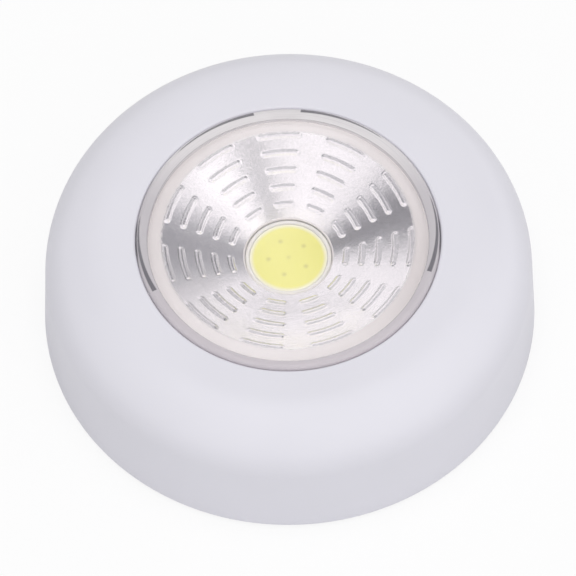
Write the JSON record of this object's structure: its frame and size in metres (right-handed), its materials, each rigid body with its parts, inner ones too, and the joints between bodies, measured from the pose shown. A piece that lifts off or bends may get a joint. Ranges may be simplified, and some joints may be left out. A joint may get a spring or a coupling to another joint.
{
  "type": "puck light",
  "caption": "Round battery push light: a clear lens over a bright ribbed dish and a round LED field, set in a white domed ring on a twist-lock base plate.",
  "frame": {"origin": "middle of the adhesive pad's back face, on the lamp's axis", "axes": "+Z along the lamp's axis, out of the lens; +Y away from the viewer in the picture, +X to the right"},
  "size_m": [0.075, 0.075, 0.0229],
  "materials": {
    "foam": "matt closed-cell foam with an adhesive face",
    "inner_plastic": "plain moulded white plastic",
    "shell_plastic": "glossy white moulded plastic with a cool cast",
    "screw_steel": "zinc-plated steel",
    "battery_jacket": "plain dark sleeve over a steel can",
    "contact_nickel": "nickel-plated spring strip",
    "board_green": "green solder mask on a fibre board",
    "switch_black": "moulded black plastic",
    "plunger_plastic": "natural moulded plastic",
    "wire_red": "soft red insulation",
    "wire_black": "soft black insulation",
    "board_aluminium": "white solder mask on an aluminium board",
    "dam_silicone": "satin white silicone bead",
    "phosphor": "satin yellow phosphor gel over six chips",
    "dish_aluminium": "bright pressed sheet",
    "lens_clear": "clear polished polystyrene",
    "spring_steel": "bright spring wire"
  },
  "bodies": {
    "mount_base": {"adhesive_pad": "foam", "base_plate": "inner_plastic"},
    "housing": {"front_housing": "shell_plastic", "battery_tray": "inner_plastic", "housing_screw_1": "screw_steel", "housing_screw_2": "screw_steel", "housing_screw_3": "screw_steel", "battery_1": "battery_jacket", "battery_2": "battery_jacket", "battery_3": "battery_jacket", "battery_spring_1": "contact_nickel", "battery_spring_2": "contact_nickel", "battery_spring_3": "contact_nickel", "bridge_contact_1": "contact_nickel", "bridge_contact_2": "contact_nickel", "positive_terminal": "contact_nickel", "negative_terminal": "contact_nickel", "switch_board": "board_green", "switch_board_screw_1": "screw_steel", "switch_board_screw_2": "screw_steel", "switch_body": "switch_black", "series_resistor": "switch_black", "battery_wire_positive": "wire_red", "battery_wire_negative": "wire_black", "led_wire_positive": "wire_red", "led_wire_negative": "wire_black", "return_spring_1": "spring_steel", "return_spring_2": "spring_steel", "return_spring_3": "spring_steel"},
    "push_button": {"led_carrier": "inner_plastic", "led_board": "board_aluminium", "led_board_screw_1": "screw_steel", "led_board_screw_2": "screw_steel", "led_dam_ring": "dam_silicone", "led_phosphor": "phosphor", "reflector": "dish_aluminium", "lens": "lens_clear"},
    "plunger": {"switch_plunger": "plunger_plastic"}
  },
  "joints": [
    {"name": "base_twist", "type": "hinge", "parent": "mount_base", "child": "housing", "pos_m": [0, 0, 0], "axis": [0, 0, 1], "range_deg": [0, 22]},
    {"name": "lens_push", "type": "slide", "parent": "housing", "child": "push_button", "axis": [0, 0, -1], "range_m": [0, 0.002], "stiffness_N_per_m": 800, "springref_m": -0.003, "deforming": ["return_spring_1", "return_spring_2", "return_spring_3", "led_wire_positive", "led_wire_negative"]},
    {"name": "plunger_push", "type": "slide", "parent": "housing", "child": "plunger", "axis": [0, 0, -1], "range_m": [0, 0.002]}
  ],
  "couplings": [
    {"joint": "plunger_push", "follows": "lens_push", "ratio": 1}
  ]
}
